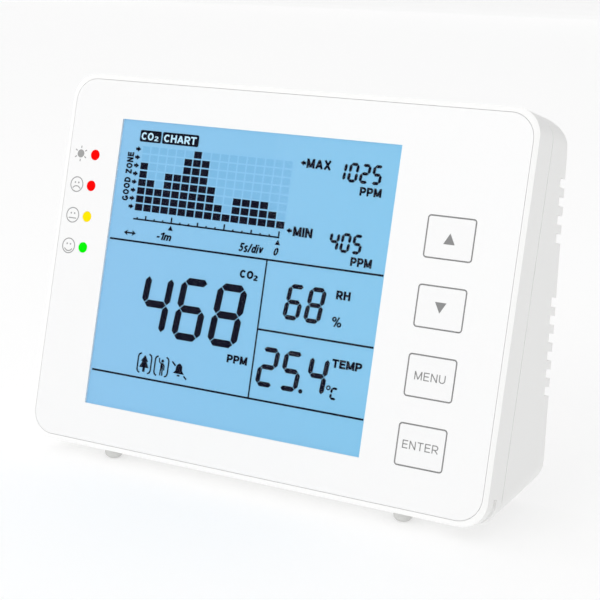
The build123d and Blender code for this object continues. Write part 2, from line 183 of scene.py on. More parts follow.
@dataclass(frozen=True)
class GrainedFinish(Finish):
    """A finish whose surface carries a fine even grain, as a spark-eroded or blasted mould gives."""

    grain_mm: float = 0.3
    relief_mm: float = 0.006
    speckle: float = 0.02

    def pattern(self, tree: bpy.types.NodeTree, shader: bpy.types.Node) -> None:
        """Grain: noise one grain apart raises the surface a little and varies its gloss and shade.

        Args:
            tree: The material's node tree.
            shader: Its Principled node.
        """
        place = add_node(tree, "ShaderNodeTexCoord")
        red, green, blue, _ = linear(self.colour)
        keep = 1 - self.speckle
        deep = (red * keep, green * keep, blue * keep, 1.0)
        grain = add_node(tree, "ShaderNodeTexNoise", values={"Scale": 1 / (self.grain_mm * MM), "Detail": 2.0},
                         links={"Vector": place.outputs["Object"]})
        gloss = add_node(tree, "ShaderNodeMapRange",
                         values={"To Min": self.roughness - 0.06, "To Max": self.roughness + 0.06},
                         links={"Value": grain.outputs["Fac"]})
        bump = add_node(tree, "ShaderNodeBump", values={"Strength": 1.0, "Distance": self.relief_mm * MM},
                        links={"Height": grain.outputs["Fac"]})
        shade = add_node(tree, "ShaderNodeMix", {"data_type": "RGBA"}, values={6: deep, 7: linear(self.colour)},
                         links={0: grain.outputs["Fac"]})
        tree.links.new(shade.outputs[2], shader.inputs["Base Color"])
        tree.links.new(gloss.outputs["Result"], shader.inputs["Roughness"])
        tree.links.new(bump.outputs["Normal"], shader.inputs["Normal"])


@dataclass(frozen=True)
class BrushedFinish(Finish):
    """Metal with fine lines along one direction, as rolling or turning leaves."""

    line_mm: float = 0.15
    stretch: float = 12.0

    def pattern(self, tree: bpy.types.NodeTree, shader: bpy.types.Node) -> None:
        """Lines: noise drawn out along x varies the roughness.

        Args:
            tree: The material's node tree.
            shader: Its Principled node.
        """
        place = add_node(tree, "ShaderNodeTexCoord")
        scale = 1 / (self.line_mm * MM)
        turn = add_node(tree, "ShaderNodeMapping", values={"Scale": (scale / self.stretch, scale, scale)},
                        links={"Vector": place.outputs["Object"]})
        lines = add_node(tree, "ShaderNodeTexNoise", values={"Scale": 1.0, "Detail": 2.0},
                         links={"Vector": turn.outputs["Vector"]})
        gloss = add_node(tree, "ShaderNodeMapRange",
                         values={"To Min": self.roughness - 0.08, "To Max": self.roughness + 0.1},
                         links={"Value": lines.outputs["Fac"]})
        tree.links.new(gloss.outputs["Result"], shader.inputs["Roughness"])


@dataclass(frozen=True)
class BoardFinish(Finish):
    """Solder-masked glass laminate: the weave of the cloth and the copper show faintly through the mask."""

    weave_mm: float = 0.6
    copper: str = "#2F7A4A"
    track_mm: float = 2.54

    def pattern(self, tree: bpy.types.NodeTree, shader: bpy.types.Node) -> None:
        """Blocky cells stand for copper areas one pin pitch apart, and waves for the weave.

        Args:
            tree: The material's node tree.
            shader: Its Principled node.
        """
        place = add_node(tree, "ShaderNodeTexCoord")
        cells = add_node(tree, "ShaderNodeTexVoronoi", {"distance": "CHEBYCHEV"},
                         values={"Scale": 1 / (self.track_mm * MM)}, links={"Vector": place.outputs["Object"]})
        split = add_node(tree, "ShaderNodeMapRange", {"interpolation_type": "SMOOTHSTEP"},
                         values={"From Min": 0.36, "From Max": 0.4}, links={"Value": cells.outputs["Distance"]})
        mask = add_node(tree, "ShaderNodeMix", {"data_type": "RGBA"},
                        values={6: linear(self.copper), 7: linear(self.colour)},
                        links={0: split.outputs["Result"]})
        weave = add_node(tree, "ShaderNodeTexWave", values={"Scale": 0.3 / (self.weave_mm * MM)},
                         links={"Vector": place.outputs["Object"]})
        bump = add_node(tree, "ShaderNodeBump", values={"Strength": 0.5, "Distance": 0.01 * MM},
                        links={"Height": weave.outputs["Fac"]})
        tree.links.new(mask.outputs[2], shader.inputs["Base Color"])
        tree.links.new(bump.outputs["Normal"], shader.inputs["Normal"])


@dataclass(frozen=True)
class BacklitFinish(Finish):
    """The liquid-crystal field over its backlight: a blue that is brighter near the lamps."""

    edge_colour: str = "#74AECF"
    spread_m: float = 0.074
    lamp_side_m: float = -0.0445

    def pattern(self, tree: bpy.types.NodeTree, shader: bpy.types.Node) -> None:
        """Brightness: falls off along x from the side the lamps shine in from.

        Args:
            tree: The material's node tree.
            shader: Its Principled node.
        """
        place = add_node(tree, "ShaderNodeTexCoord")
        axes = add_node(tree, "ShaderNodeSeparateXYZ", links={"Vector": place.outputs["Object"]})
        fall = add_node(tree, "ShaderNodeMapRange",
                        values={"From Min": self.lamp_side_m, "From Max": self.lamp_side_m + self.spread_m},
                        links={"Value": axes.outputs["X"]})
        tint = add_node(tree, "ShaderNodeMix", {"data_type": "RGBA"},
                        values={6: linear(self.colour), 7: linear(self.edge_colour)},
                        links={0: fall.outputs["Result"]})
        tree.links.new(tint.outputs[2], shader.inputs["Base Color"])
        tree.links.new(tint.outputs[2], shader.inputs["Emission Color"])


# Opal acrylic light table of the studio: pale, matt and lit a little from below.
LIGHT_TABLE = GrainedFinish("acrylic_opal_light_table", "#CDCDCD", 0.8, 1.3, glow=0.7, grain_mm=4.0,
                            relief_mm=0.0, speckle=0.01)
# Injection-moulded ABS from a lightly blasted mould: bright white with a soft, broad sheen.  The real grain
# is about 0.05 mm; it is drawn at 0.3 mm, the finest that shows.
CASE_ABS = GrainedFinish("abs_moulded_white", "#FAFAF9", 0.5, 1.54)
# Reverse-printed polycarbonate overlay: a shade deeper and a little smoother than the case.
PANEL_PRINT = GrainedFinish("polycarbonate_overlay_printed_white", "#F4F4F4", 0.42, 1.58,
                            relief_mm=0.002)
# Screen-printed grey ink: flat, slightly duller than the film under it. The darker grey also serves as painted
# shade, in a thin ribbon along the gap round each key.
GREY_INK_AND_GAP_SHADE = GrainedFinish("ink_screen_printed_grey_and_painted_gap_shade", "#8D8D8D", 0.6, 1.3, grain_mm=0.2, speckle=0.08)
LIGHT_INK = GrainedFinish("ink_screen_printed_light_grey", "#A2A2A2", 0.6, 1.3, grain_mm=0.2,
                          speckle=0.08)
# Hard-coated clear acrylic window: nearly invisible, with a thin reflection.
CLEAR_WINDOW = Finish("acrylic_window_hard_coated", "#FFFFFF", 0.05, 1.49, transmission=1.0, alpha=0.08)
GLOW = 0.3                              # of the display's own colour, from the lamps behind it
# Liquid-crystal cell lit from behind by a blue slab: an even glowing field.
LCD_FIELD = BacklitFinish("liquid_crystal_field_backlit_blue", "#7AADD0", 0.5, 1.3, glow=GLOW)
# Driven liquid-crystal segments: near black with a blue cast, and no gloss of their own.
LCD_DARK = GrainedFinish("liquid_crystal_segment_on", "#0B0C20", 0.8, 1.1, grain_mm=0.4, relief_mm=0.0,
                         speckle=0.2)
# Undriven cells: a little darker than the field, on a lattice of nearly its own colour.
LCD_FAINT = Finish("liquid_crystal_segment_off", "#6AA3C8", 0.5, 1.3, glow=GLOW)
LCD_LATTICE = Finish("liquid_crystal_field_pale", "#78AED1", 0.5, 1.3, glow=GLOW)
# Letters left clear in a dark tab: the pale light of the backlight shows through them.
LCD_LIGHT = Finish("liquid_crystal_field_clear_letters", "#B0D2E4", 0.5, 1.3, glow=GLOW)
# Diffusing acrylic lenses over lit lamps: saturated colour with a glow from inside.
RED_LENS = GrainedFinish("acrylic_lens_diffusing_red", "#EE0000", 0.5, 1.1, glow=0.2, speckle=0.1)
YELLOW_LENS = GrainedFinish("acrylic_lens_diffusing_yellow", "#F2D800", 0.5, 1.1, glow=0.2, speckle=0.1)
GREEN_LENS = GrainedFinish("acrylic_lens_diffusing_green", "#00E400", 0.5, 1.1, glow=0.2, speckle=0.1)
# Moulded ABS key caps, polished mould: white, a touch glossier than the case.
KEY_ABS = GrainedFinish("abs_moulded_key_white", "#F3F3F3", 0.42, 1.54, grain_mm=0.4, relief_mm=0.003)
# Moulded thermoplastic rubber: pale grey and matt.
FOOT_RUBBER = GrainedFinish("rubber_moulded_pale_grey", "#D4D4D2", 0.75, 1.52, grain_mm=0.35)
# Conductive and insulating silicone strip: dark pink-grey, matt.
CONTACT_RUBBER = GrainedFinish("silicone_contact_strip", "#8C6A6E", 0.8, 1.41)
# White polycarbonate moulding of the display holder and the lamp shroud.
HOLDER_WHITE = GrainedFinish("polycarbonate_moulded_white", "#EFEFEA", 0.45, 1.58)
# Cast acrylic slab with a dotted back, seen as pale and cloudy.
GUIDE_CLEAR = Finish("acrylic_light_guide_cloudy", "#DCEBF5", 0.25, 1.49, transmission=0.6)
# Epoxy of the lamps: clear with a faint milky cast.
LED_CLEAR = Finish("epoxy_cast_clear", "#F2F0E6", 0.1, 1.54, transmission=0.7)
# Glass-cloth epoxy board under green solder mask: dark, with a faint weave and lighter copper areas.
BOARD_GREEN = BoardFinish("fibreglass_board_solder_masked_green", "#14542C", 0.32, 1.5, coat=0.2)
# Glass-filled nylon of the key switches: black with a dry surface.
SWITCH_BLACK = GrainedFinish("nylon_moulded_black", "#17171A", 0.55, 1.53)
# Gold-flashed brass chamber of the gas sensor: bright and warm, lightly brushed.
SENSOR_GOLD = BrushedFinish("brass_gold_flashed_brushed", "#D9B25A", 0.28, metallic=1.0)
# Expanded fluoropolymer membrane: white and dead matt.
MEMBRANE = GrainedFinish("membrane_expanded_fluoropolymer_white", "#F0F0EC", 0.9, 1.35, grain_mm=0.3)
# Black epoxy chip packages, matt from the mould.
CHIP_BLACK = GrainedFinish("epoxy_moulded_black", "#1A1A1C", 0.62, 1.55)
# Drawn aluminium cans: bright, with fine lines.
CAN_ALUMINIUM = BrushedFinish("aluminium_drawn_can", "#C9CBCE", 0.32, metallic=1.0)
# Nickel-plated stamped steel of the power socket.
SOCKET_STEEL = BrushedFinish("steel_nickel_plated_stamped", "#C3C2BD", 0.25, metallic=1.0, line_mm=0.2)
# Zinc-plated screws: cool grey, slightly rough.
SCREW_STEEL = BrushedFinish("steel_zinc_plated_turned", "#B4B8BC", 0.36, metallic=1.0, stretch=1.0)

NODE_FINISHES: dict[str, Finish] = {
    "case_abs": CASE_ABS, "panel_print": PANEL_PRINT, "clear_window": CLEAR_WINDOW, "display_blue": LCD_FIELD,
    "holder_white": HOLDER_WHITE, "guide_clear": GUIDE_CLEAR, "led_clear": LED_CLEAR,
    "contact_rubber": CONTACT_RUBBER, "board_green": BOARD_GREEN, "key_white": KEY_ABS,
    "switch_black": SWITCH_BLACK, "lens_red": RED_LENS, "lens_yellow": YELLOW_LENS, "lens_green": GREEN_LENS,
    "sensor_gold": SENSOR_GOLD, "membrane_white": MEMBRANE, "chip_black": CHIP_BLACK,
    "can_aluminium": CAN_ALUMINIUM, "socket_steel": SOCKET_STEEL, "screw_steel": SCREW_STEEL,
    "foot_rubber": FOOT_RUBBER,
}


# ------------------------------------------------------------------ the sloping face

@dataclass(frozen=True)
class Face:
    """The plane of the face: its middle in metres and its three directions."""

    middle: Vector
    up: Vector
    inward: Vector
    width: float
    height: float

    @classmethod
    def of_part(cls, joints: Sequence[dict[str, Any]]) -> "Face":
        """Find the face from the key joints' direction and the panel's box.

        The panel is a plate of height h and thickness t leaning back by the tilt, so its box is
        h sin + t cos deep and h cos + t sin high; the two are solved for h and t.

        Args:
            joints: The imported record's joints; every key slides square to the face.

        Returns:
            The face.
        """
        inward = Vector(joints[0]["axis"]).normalized()
        low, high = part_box("front_panel")
        lean, rise = -inward.z, inward.y
        deep, tall = high.y - low.y, high.z - low.z
        spread = rise * rise - lean * lean
        height = (tall * rise - deep * lean) / spread
        thick = (deep * rise - tall * lean) / spread
        middle = Vector(((low.x + high.x) / 2, (low.y + high.y - thick * rise) / 2,
                         (low.z + high.z + thick * lean) / 2))
        up = Vector((0, lean, rise))
        return cls(middle, up, inward, high.x - low.x, height)

    def place(self, points: np.ndarray) -> np.ndarray:
        """Turn rows of (x, v, depth) in millimetres into rows of world coordinates in metres."""
        axes = np.array([(1.0, 0.0, 0.0), tuple(self.up), tuple(self.inward)])
        return np.asarray(points, float) * MM @ axes + np.array(self.middle)


# ------------------------------------------------------------------ flat shapes

def rectangle(x0: float, v0: float, x1: float, v1: float) -> np.ndarray:
    """Four corners of an upright rectangle, anticlockwise."""
    return np.array([(x0, v0), (x1, v0), (x1, v1), (x0, v1)], float)


def arc(middle: tuple[float, float], radius: float, start: float = 0.0, stop: float = 360.0,
        count: int = 24) -> np.ndarray:
    """Points middle + radius (cos a, sin a) for even angles from start to stop in degrees.

    Args:
        middle: The centre.
        radius: The radius.
        start: First angle.
        stop: Last angle; a whole turn leaves out the repeated last point.
        count: Number of points.

    Returns:
        An array of (count, 2).
    """
    whole = abs(stop - start) >= 360
    angles = np.radians(np.linspace(start, stop, count, endpoint=not whole))
    return np.column_stack((middle[0] + radius * np.cos(angles), middle[1] + radius * np.sin(angles)))


def rounded(x0: float, v0: float, x1: float, v1: float, radius: float, count: int = 6) -> np.ndarray:
    """A rectangle whose corners are quarter turns: four arcs one after another, anticlockwise.

    Args:
        x0, v0: Its lowest corner.
        x1, v1: Its highest corner.
        radius: Radius of the corners.
        count: Points in each corner.

    Returns:
        An array of (4 count, 2).
    """
    corners = ((x1 - radius, v0 + radius, -90), (x1 - radius, v1 - radius, 0),
               (x0 + radius, v1 - radius, 90), (x0 + radius, v0 + radius, 180))
    return np.vstack([arc((x, v), radius, a, a + 90, count) for x, v, a in corners])


def segment(start: Sequence[float], stop: Sequence[float], thick: float, gap: float) -> np.ndarray:
    """A six-sided display segment: a bar with pointed ends, a gap short of each end.

    Args:
        start: Where the segment's middle line would start.
        stop: Where it would stop.
        thick: Thickness of the bar, whose points are half as long.
        gap: How far each point stays back.

    Returns:
        An array of (6, 2).
    """
    a, b = np.asarray(start, float), np.asarray(stop, float)
    along = (b - a) / np.linalg.norm(b - a)
    across = np.array((-along[1], along[0])) * thick / 2
    a, b = a + along * gap, b - along * gap
    back = along * thick / 2
    return np.array([a, a + back - across, b - back - across, b, b - back + across, a + back + across])


def line_edges(path: np.ndarray, width: float, closed: bool) -> tuple[np.ndarray, np.ndarray]:
    """Work out the two edges of a line of even width along a path.

    At each path point the edges stand width / 2 away along the bisector of the neighbouring directions,
    divided by the cosine of half the turn.

    Args:
        path: (N, 2) points.
        width: Width of the line.
        closed: Whether the path runs back to its first point.

    Returns:
        The left and the right edge, (N, 2) each.
    """
    line = np.asarray(path, float)
    if closed:
        ahead = np.roll(line, -1, axis=0) - line
        behind = line - np.roll(line, 1, axis=0)
    else:
        steps = np.diff(line, axis=0)
        ahead, behind = np.vstack((steps, steps[-1:])), np.vstack((steps[:1], steps))
    ahead = ahead / np.linalg.norm(ahead, axis=1, keepdims=True)
    behind = behind / np.linalg.norm(behind, axis=1, keepdims=True)
    left = np.column_stack((-(ahead + behind)[:, 1], (ahead + behind)[:, 0]))
    left /= np.linalg.norm(left, axis=1, keepdims=True)
    half_turn = np.abs(left[:, 0] * -ahead[:, 1] + left[:, 1] * ahead[:, 0])
    reach = left * (width / 2 / np.maximum(half_turn, 0.4))[:, None]
    return line + reach, line - reach


def oval(x: float, y: float, wide: float, tall: float, start: float = 0.0, stop: float = 360.0,
         count: int = 18) -> np.ndarray:
    """Points of an ellipse about (x, y): an arc of radius 1 stretched by its two half sizes."""
    return arc((0.0, 0.0), 1.0, start, stop, count) * (wide, tall) + (x, y)


def glyph(letter: str, a: float) -> tuple[float, list[tuple[Any, bool]]]:
    """Give a letter's width and the middle lines of its strokes, for a height of 1.

    Args:
        letter: The character.
        a: Half the stroke's width, which the middle lines stay inside by.

    Returns:
        The width, and each stroke's path with whether it closes.
    """
    top, x_top, mid = 1 - a, 0.74, 0.5

    def stem(x: float, y0: float = 0.0, y1: float = 1.0) -> tuple[Any, bool]:
        """An upright stroke."""
        return [(x, y0), (x, y1)], False

    def bar(x0: float, x1: float, y: float) -> tuple[Any, bool]:
        """A level stroke."""
        return [(x0, y), (x1, y)], False

    if letter == "M":
        w = 0.92
        return w, [stem(a), stem(w - a), ([(a * 1.2, 1 - a * 0.6), (w / 2, a * 0.9)], False),
                   ([(w / 2, a * 0.9), (w - a * 1.2, 1 - a * 0.6)], False)]
    if letter == "N":
        w = 0.78
        return w, [stem(a), stem(w - a), ([(a * 1.1, 1 - a * 0.6), (w - a * 1.1, a * 0.6)], False)]
    if letter == "A":
        w = 0.88
        return w, [([(a, 0.02), (w / 2, 1 - a * 0.5)], False), ([(w / 2, 1 - a * 0.5), (w - a, 0.02)], False),
                   bar(w * 0.22, w * 0.78, 0.3)]
    if letter == "X":
        w = 0.84
        return w, [([(a, 0.02), (w - a, 0.98)], False), ([(a, 0.98), (w - a, 0.02)], False)]
    if letter == "I":
        return 2 * a, [stem(a)]
    if letter in "PR":
        w, r = 0.76, (1 - a - 0.43) / 2
        bowl = np.vstack(([(a, top)], oval(w - a - r, top - r, r, r, 90, -90, 9), [(a, 0.43)]))
        paths = [stem(a), (bowl, False)]
        if letter == "R":
            paths.append(([(w * 0.45, 0.45), (w - a * 0.6, 0.01)], False))
        return w, paths
    if letter in "CG":
        w = 0.84
        paths = [(oval(w / 2, mid, w / 2 - a, mid - a, 42, 318, 18), False)]
        if letter == "G":
            paths += [stem(w - a, 0.14, 0.5), bar(w * 0.52, w, 0.5 - a)]
        return w, paths
    if letter in "O0":
        w = 0.86 if letter == "O" else 0.6
        return w, [(oval(w / 2, mid, w / 2 - a, mid - a), True)]
    if letter == "D":
        w = 0.8
        curve = np.vstack(([(a, top)], oval(w * 0.42, mid, w * 0.58 - a, mid - a, 90, -90, 11), [(a, a)]))
        return w, [stem(a), (curve, False)]
    if letter == "H":
        w = 0.78
        return w, [stem(a), stem(w - a), bar(a, w - a, 0.53)]
    if letter == "T":
        w = 0.74
        return w, [bar(0, w, top), stem(w / 2)]
    if letter == "E":
        w = 0.68
        return w, [stem(a), bar(a, w, top), bar(a, w, a), bar(a, w * 0.93, 0.52)]
    if letter == "Z":
        w = 0.7
        return w, [bar(0, w, top), bar(0, w, a), ([(a, a * 1.5), (w - a, 1 - a * 1.5)], False)]
    if letter == "U":
        w = 0.78
        cup = np.vstack(([(a, 1)], oval(w / 2, 0.36, w / 2 - a, 0.36 - a, 180, 360, 11), [(w - a, 1)]))
        return w, [(cup, False)]
    if letter == "1":
        w = 0.42
        return w, [stem(w - a), ([(0.0, 0.72), (w - a, 0.95)], False)]
    if letter == "2":
        w = 0.6
        hook = np.vstack((oval(w / 2, 0.7, w / 2 - a, 0.3 - a, 165, -30, 10), [(a * 1.2, a * 1.6)]))
        return w, [(hook, False), bar(0, w, a)]
    if letter == "5":
        w = 0.62
        bowl = oval(w / 2 - 0.02, 0.33, w / 2 - a, 0.33 - a, 130, -150, 14)
        return w, [bar(0.1, w - 0.03, top), stem(0.1 + a, 0.5, 1), (bowl, False)]
    if letter == "s":
        w, half = 0.52, x_top / 2
        high = oval(w / 2, x_top * 0.74, w / 2 - a, x_top * 0.26 - a * 0.6, 30, 270, 9)
        low = oval(w / 2, x_top * 0.26, w / 2 - a, x_top * 0.26 - a * 0.6, 90, -150, 9)
        return w, [(high, False), (low, False), bar(w * 0.42, w * 0.58, half)]
    if letter == "d":
        w = 0.6
        return w, [stem(w - a), (oval(w / 2, x_top / 2, w / 2 - a, x_top / 2 - a), True)]
    if letter == "i":
        return 2 * a, [stem(a, 0, x_top), stem(a, 0.84, 1)]
    if letter == "v":
        w = 0.58
        return w, [([(a, x_top), (w / 2, a)], False), ([(w / 2, a), (w - a, x_top)], False)]
    if letter == "m":
        w, r = 0.92, (0.92 - 2 * a) / 4
        arches = [(np.vstack((oval(a + r * k, x_top - a - r, r, r, 180, 0, 9), [(a + r * k + r, 0)])), False)
                  for k in (1, 3)]
        return w, [stem(a, 0, x_top), *arches]
    if letter == "/":
        return 0.36, [([(a * 0.6, 0), (0.36 - a * 0.6, 1)], False)]
    if letter == "-":
        return 0.34, [bar(0, 0.34, 0.36)]
    if letter == "%":
        w = 1.0
        rings = [(oval(x, y, 0.16, 0.19, count=14), True) for x, y in ((0.23, 0.75), (0.77, 0.25))]
        return w, [*rings, ([(0.28, 0.0), (0.72, 1.0)], False)]
    raise ValueError(f"no strokes for {letter!r}")


class Plates:
    """Thin shapes at one depth of the face, gathered into one closed mesh.

    Every shape is an outline or a ribbon carried straight from the front depth to the back depth.
    """

    def __init__(self, face: Face, front: float, back: float, shift: tuple[float, float] = (0.0, 0.0)) -> None:
        """Start an empty set.

        Args:
            face: The face that x, v and depth are measured on.
            front: Depth of the shapes' front.
            back: Depth of the shapes' back.
            shift: Added to every x and v.
        """
        self.face, self.front, self.back = face, front, back
        self.shift = np.array(shift)
        self.points: list[np.ndarray] = []
        self.faces: list[list[int]] = []
        self.count = 0

    def _take(self, points: np.ndarray, faces: list[list[int]]) -> None:
        """Add points and the faces between them.

        Args:
            points: (N, 3) rows of x, v and depth.
            faces: Lists of point numbers that count from the first of these points.
        """
        self.points.append(points)
        self.faces += [[i + self.count for i in one] for one in faces]
        self.count += len(points)

    def plates(self, outlines: np.ndarray) -> "Plates":
        """Add closed plates: point (i, j) is outline point i at depth front + j (back - front), j 0 or 1.

        Args:
            outlines: (M, N, 2) or (N, 2) points; each outline is turned anticlockwise first.

        Returns:
            This set.
        """
        shapes = np.asarray(outlines, float)
        shapes = shapes[None] if shapes.ndim == 2 else shapes
        after = np.roll(shapes, -1, axis=1)
        area = (shapes[..., 0] * after[..., 1] - shapes[..., 1] * after[..., 0]).sum(axis=1)
        shapes = np.where((area < 0)[:, None, None], shapes[:, ::-1], shapes)
        many, sides = shapes.shape[:2]
        depths = np.array([self.front, self.back])
        grid = np.empty((many, 2, sides, 3))
        grid[..., :2] = shapes[:, None]
        grid[..., 2] = depths[None, :, None]
        index = np.arange(many * 2 * sides).reshape(many, 2, sides)
        near, deep = index[:, 0], index[:, 1]
        walls = np.stack((near, deep, np.roll(deep, -1, axis=1), np.roll(near, -1, axis=1)), axis=-1)
        self._take(grid.reshape(-1, 3), near.tolist() + deep[:, ::-1].tolist() + walls.reshape(-1, 4).tolist())
        return self

    def band(self, left: np.ndarray, right: np.ndarray, closed: bool = False) -> "Plates":
        """Add a strip between two edges: a rectangular section carried from one pair of points to the next.

        Args:
            left: (N, 2) points of the left edge.
            right: (N, 2) points of the right edge.
            closed: Whether the strip runs back to its first pair.

        Returns:
            This set.
        """
        number = len(left)
        grid = np.empty((number, 4, 3))
        grid[:, (0, 3), :2] = left[:, None]
        grid[:, (1, 2), :2] = right[:, None]
        grid[:, :2, 2], grid[:, 2:, 2] = self.front, self.back
        index = np.arange(number * 4).reshape(number, 4)
        here = index if closed else index[:-1]
        there = np.roll(index, -1, axis=0) if closed else index[1:]
        walls = np.stack((here, there, np.roll(there, -1, axis=1), np.roll(here, -1, axis=1)), axis=-1)
        faces = walls.reshape(-1, 4).tolist()
        if not closed:
            faces += [index[0].tolist(), index[-1, ::-1].tolist()]
        self._take(grid.reshape(-1, 3), faces)
        return self

    def ribbon(self, path: np.ndarray, width: float, closed: bool = False) -> "Plates":
        """Add a line of even width along a path, with mitred corners.

        Args:
            path: (N, 2) points.
            width: Width of the line.
            closed: Whether the path runs back to its first point.

        Returns:
            This set.
        """
        return self.band(*line_edges(path, width, closed), closed)

    def text(self, words: str, box: Sequence[float], thick: float = 0.19, slant: float = 0.0,
             upward: bool = False, spacing: float = 0.09) -> "Plates":
        """Add lettering drawn with strokes and stretched to fill a box.

        The strokes are worked out for letters of height 1, leant over, and scaled to the box.

        Args:
            words: The characters.
            box: Left, bottom, right and top on the face.
            thick: Width of the strokes as a share of the letters' height.
            slant: Lean of the letters, as a share of their height.
            upward: Whether the line reads from bottom to top.
            spacing: Gap between letters, as a share of their height.

        Returns:
            This set.
        """
        at, strips = 0.0, []
        for one in words:
            width, paths = glyph(one, thick / 2)
            for path, closed in paths:
                left, right = line_edges(np.asarray(path, float), thick, closed)
                strips.append((left + (at, 0), right + (at, 0), closed))
            at += width + spacing
        points = np.vstack([np.vstack(one[:2]) for one in strips])
        leant = points[:, 0] + slant * points[:, 1]
        low, high = leant.min(), leant.max()
        x0, v0, x1, v1 = box
        for left, right, closed in strips:
            edges = []
            for edge in (left, right):
                along = (edge[:, 0] + slant * edge[:, 1] - low) / (high - low)
                if upward:
                    edges.append(np.column_stack((x1 - (x1 - x0) * edge[:, 1], v0 + (v1 - v0) * along)))
                else:
                    edges.append(np.column_stack((x0 + (x1 - x0) * along, v0 + (v1 - v0) * edge[:, 1])))
            self.band(edges[0], edges[1], closed)
        return self

    def piece(self, name: str, finish: Finish, body: Body, slot: str) -> bpy.types.Object:
        """Make the mesh, dress it and let it ride a body.

        Args:
            name: The piece's name.
            finish: Its finish.
            body: The body it moves with.
            slot: The record's material slot; not used.

        Returns:
            The new object.
        """
        flat = np.vstack(self.points)
        flat[:, :2] += self.shift
        mesh = bpy.data.meshes.new(name)
        mesh.from_pydata(self.face.place(flat).tolist(), [], self.faces)
        work = bmesh.new()
        work.from_mesh(mesh)
        bmesh.ops.recalc_face_normals(work, faces=work.faces[:])
        work.to_mesh(mesh)
        work.free()
        return add_piece(name, mesh, finish, body)


def add_piece(name: str, mesh: bpy.types.Mesh, finish: Finish, body: Body) -> bpy.types.Object:
    """Link a finished mesh as a piece of the object, dressed and riding its body.

    Args:
        name: The piece's name.
        mesh: Its mesh, in world place.
        finish: Its finish.
        body: The body it moves with.

    Returns:
        The new object.
    """
    mesh.validate()
    mesh.update()
    mesh.materials.append(finish.build())
    piece = bpy.data.objects.new(name, mesh)
    bpy.context.scene.collection.objects.link(piece)
    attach(piece, body.value)
    LOG.info("%s: %d faces on %s", name, len(mesh.polygons), body.value)
    return piece


# ------------------------------------------------------------------ sub-assemblies

@dataclass
class PackedNodes:
    """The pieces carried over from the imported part, which only need their finishes."""

    record: dict[str, Any]
    nodes: dict[str, bpy.types.Object]

    def dress(self) -> None:
        """Give every node the finish of the slot that the record puts it in."""
        slots = {part["node"]: part["material_slot"] for part in self.record["subparts"]}
        for name, node in self.nodes.items():
            finish = NODE_FINISHES[slots[name]].build()
            node.data.materials.clear()
            node.data.materials.append(finish)
            LOG.info("%s: %s", name, finish.name)


class Mood(Enum):
    """What a status light's picture shows."""

    ALARM = "alarm"
    SAD = "sad"
    LEVEL = "level"
    HAPPY = "happy"


def stepped(first: float, pitch: float, count: int) -> list[float]:
    """Evenly spaced heights down the face, from the first."""
    return [first - number * pitch for number in range(count)]


@dataclass
class PanelPrintAndGapShade:
    """Grey on the face panel: painted shade in a thin ribbon just outside each key's opening, where the gap round
    the key is shaded, and a printed picture beside each status light.
    """

    face: Face
    key_width: float = 11.0
    key_height: float = 9.0
    key_x: float = 43.3
    first_key_v: float = 15.45
    key_pitch: float = 15.0
    # Width and corner radius of the painted-shade ribbon that darkens the gap round each key
    line: float = 0.2
    line_corner: float = 0.7
    icon_x: float = -55.5
    first_icon_v: float = 24.95
    icon_pitch: float = 7.5
    lamp_radius: float = 0.98
    ray_near: float = 1.3
    ray_far: float = 1.9
    face_radius: float = 1.78
    eye_out: float = 0.5
    eye_up: float = 0.45
    eye_radius: float = 0.22
    frown: tuple[float, ...] = (-1.75, 1.35, 145, 35)      # middle's rise, radius, first and last angle
    smile: tuple[float, ...] = (0.05, 1.3, 212, 328)
    level_mouth: tuple[float, float] = (1.1, -0.72)        # half width and rise
    stroke: float = 0.25
    proud: float = 0.02

    def build(self) -> None:
        """Paint the shade round the key openings and print the pictures."""
        # Painted shade: a grey ribbon just outside each key's opening, which darkens and widens the shaded gap
        # round the key
        outlines = Plates(self.face, -self.proud, self.proud)
        half_width, half_height = (self.key_width + self.line) / 2, (self.key_height + self.line) / 2
        for v in stepped(self.first_key_v, self.key_pitch, 4):
            path = rounded(self.key_x - half_width, v - half_height, self.key_x + half_width, v + half_height,
                           self.line_corner)
            outlines.ribbon(path, self.line, closed=True)
        outlines.piece("key_gap_painted_shade", GREY_INK_AND_GAP_SHADE, Body.CASE, "panel_print")
        pictures = Plates(self.face, -self.proud, self.proud)
        for mood, v in zip(Mood, stepped(self.first_icon_v, self.icon_pitch, len(Mood))):
            self.picture(pictures, mood, v)
        pictures.piece("status_pictures", LIGHT_INK, Body.CASE, "panel_print")

    def picture(self, print_: Plates, mood: Mood, v: float) -> None:
        """Draw one picture: a lamp with rays, or a round face with a mouth.

        Args:
            print_: The set of shapes to add to.
            mood: Which picture.
            v: Its height on the face.
        """
        x = self.icon_x
        if mood is Mood.ALARM:
            print_.plates(arc((x, v), self.lamp_radius))
            turns = np.radians(np.arange(30, 390, 60))
            out = np.column_stack((np.cos(turns), np.sin(turns)))
            side = np.column_stack((-out[:, 1], out[:, 0])) * self.stroke / 2
            near, far = out * self.ray_near + (x, v), out * self.ray_far + (x, v)
            print_.plates(np.stack((near - side, far - side, far + side, near + side), axis=1))
            return
        print_.ribbon(arc((x, v), self.face_radius, count=40), self.stroke, closed=True)
        for side in (-self.eye_out, self.eye_out):
            print_.plates(arc((x + side, v + self.eye_up), self.eye_radius, count=12))
        if mood is Mood.LEVEL:
            half, rise = self.level_mouth
            print_.ribbon(np.array([(x - half, v + rise), (x + half, v + rise)]), self.stroke)
            return
        rise, radius, start, stop = self.frown if mood is Mood.SAD else self.smile
        print_.ribbon(arc((x, v + rise), radius, start, stop, 12), self.stroke)


